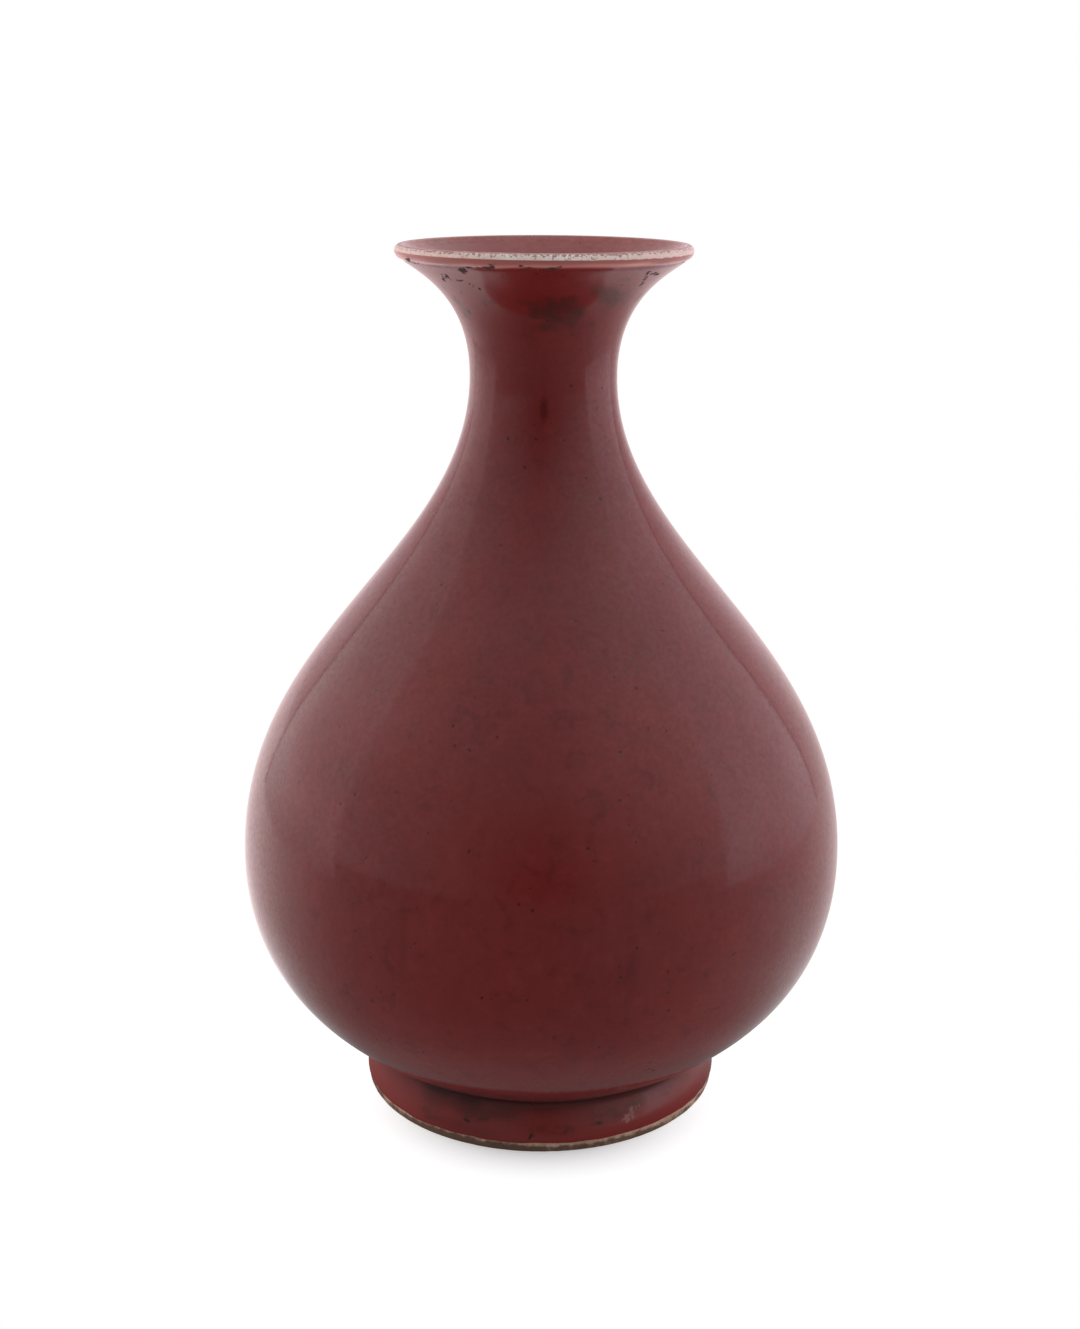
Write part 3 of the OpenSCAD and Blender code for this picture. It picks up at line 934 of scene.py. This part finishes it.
flat("studio_floor", [(-FLOOR_HALF, -FLOOR_HALF, 0), (FLOOR_HALF, -FLOOR_HALF, 0),
                      (FLOOR_HALF, FLOOR_HALF, 0), (-FLOOR_HALF, FLOOR_HALF, 0)], floor_material)


BOX_AWAY = 0.75           # distance of a box from the axis
BOX_TOP = 1.1             # height of its upper edge
BOX_RIM = 0.014           # dark rim along the far edge of a box
BOX_FADE = 0.16           # height in which a box comes to its full light
BOX_LOW = 0.3             # the part of its light that it lacks at the floor


def soft_box(name, side, azimuth, bottom, lower, upper, strength, extra, tint):
    """A lit panel that stands square to the bottle, on the right for side 1 and on the left for -1.

    lower and upper are the near and far ends of those two edges, counted from its middle line.
    extra is how much more the box lights the glaze than the glaze mirrors of it.
    """
    angle = math.radians(azimuth)
    middle = Vector((side * math.sin(angle), -math.cos(angle), 0)) * BOX_AWAY
    across = Vector((side * math.cos(angle), math.sin(angle), 0))
    corners = [
        middle + across * edge + Vector((0, 0, level))
        for edge, level in ((lower[0], bottom), (lower[1], bottom), (upper[1], BOX_TOP), (upper[0], BOX_TOP))
    ]
    lit = bare_material(name)
    tree = lit.node_tree
    _, _, z = position(tree)
    kept = 1 - BOX_LOW + BOX_LOW * z.climbing(0, BOX_FADE)
    full = strength + extra * (1 - light_path(tree, "Is Glossy Ray"))
    surface(tree, emission(tree, kept * full, tint))
    flat(name, corners, lit).visible_camera = False

    black = bare_material(name + "_rim")
    surface(black.node_tree, diffuse(black.node_tree, RIM_BLACK))
    rim = across * BOX_RIM
    edge = [corners[1], corners[1] + rim, corners[2] + rim, corners[2]]
    flat(name + "_rim", edge, black).visible_camera = False


soft_box(
    "soft_box_right", 1, azimuth=101.5, bottom=0.012, lower=(-0.53, 0.335), upper=(-0.25, 0.255),
    strength=1.02, extra=1.2, tint=(1.04, 1.0, 1.08, 1),
)
soft_box(
    "soft_box_left", -1, azimuth=108, bottom=0.005, lower=(-0.47, 0.33), upper=(-0.28, 0.30),
    strength=0.97, extra=1.75, tint=(1.07, 1.0, 1.02, 1),
)

DARKEST_UP = math.radians(5)     # the room is darkest toward the camera, this far above the level
ROOM_DARK = 0.05                 # its light there
ROOM_RISE = 0.78                 # what it gains away from there
ROOM_POWER = 0.65                # how fast
CEILING = (0.88, 1.005)          # heights of a direction at which the ceiling begins and is reached
CEILING_GAIN = 0.3               # what it gains there
WINDOW_GAIN = 0.45               # what it gains high on the right
BACK = (0.1, 0.6)                # depths of a direction at which behind begins and is reached
BACK_RIGHT = (0, 1 / 6)          # the same toward the right
BACK_RIGHT_GAIN = 0.14           # the part that it gains where both are reached
FALL_START = 0.35                # farther right than this it loses that part again
FALL = 0.75                      # how fast
TINTED_TO = (0.7, 0.7 - 1 / 3)   # heights of a direction at which the tint ends and is full
ROOM_TINT = (1.04, 0.85, 0.89, 1)   # its colour behind the bottle

world = bpy.data.worlds.new("studio_room")
bpy.context.scene.world = world
world.use_nodes = True
tree = world.node_tree
sky = tree.nodes["Background"]
toward = made(tree, "ShaderNodeTexCoord", {}, "Generated")
darkest = (0, -math.cos(DARKEST_UP), math.sin(DARKEST_UP))
facing = made(tree, "ShaderNodeVectorMath", {0: toward, 1: darkest}, "Value", operation="DOT_PRODUCT")
x, y, z = parts(tree, toward)
back = y.climbing(*BACK)
room = ROOM_DARK + ROOM_RISE * facing.climbing(1, 0) ** ROOM_POWER
room = room + CEILING_GAIN * z.climbing(*CEILING)
room = room + WINDOW_GAIN * x.at_least(0.0) * z.at_least(0.0)
right_gain = BACK_RIGHT_GAIN - FALL * (x - FALL_START).at_least(0.0)
room = room * (1 + right_gain * back * x.climbing(*BACK_RIGHT))
by_camera = light_path(tree, "Is Camera Ray")
wire(room + (1 - room) * by_camera, sky.inputs["Strength"])
tinted = (back * z.climbing(*TINTED_TO) - by_camera).at_least(0.0)
wire(mixed(tree, tinted, WHITE, ROOM_TINT), sky.inputs["Color"])


# Camera, as fitted to the photograph

PHOTO_LONG_SIDE = 1329    # pixels
FOCAL_LENGTH = 1833       # pixels
SHIFT = -2.15             # pixels
CAMERA_AT = (0, -0.6182, 0.3382)
LOOKS_DOWN = 16.472       # degrees
ROLL = 0.284              # degrees

camera = bpy.data.objects.new("camera", bpy.data.cameras.new("camera"))
bpy.context.scene.collection.objects.link(camera)
camera.data.lens = FOCAL_LENGTH * camera.data.sensor_width / PHOTO_LONG_SIDE
camera.data.shift_x = SHIFT / PHOTO_LONG_SIDE
camera.matrix_world = (
    Matrix.Translation(CAMERA_AT)
    @ Matrix.Rotation(math.radians(90 - LOOKS_DOWN), 4, "X")
    @ Matrix.Rotation(math.radians(ROLL), 4, "Z")
)
bpy.context.scene.camera = camera
bpy.context.scene.view_settings.view_transform = "Standard"
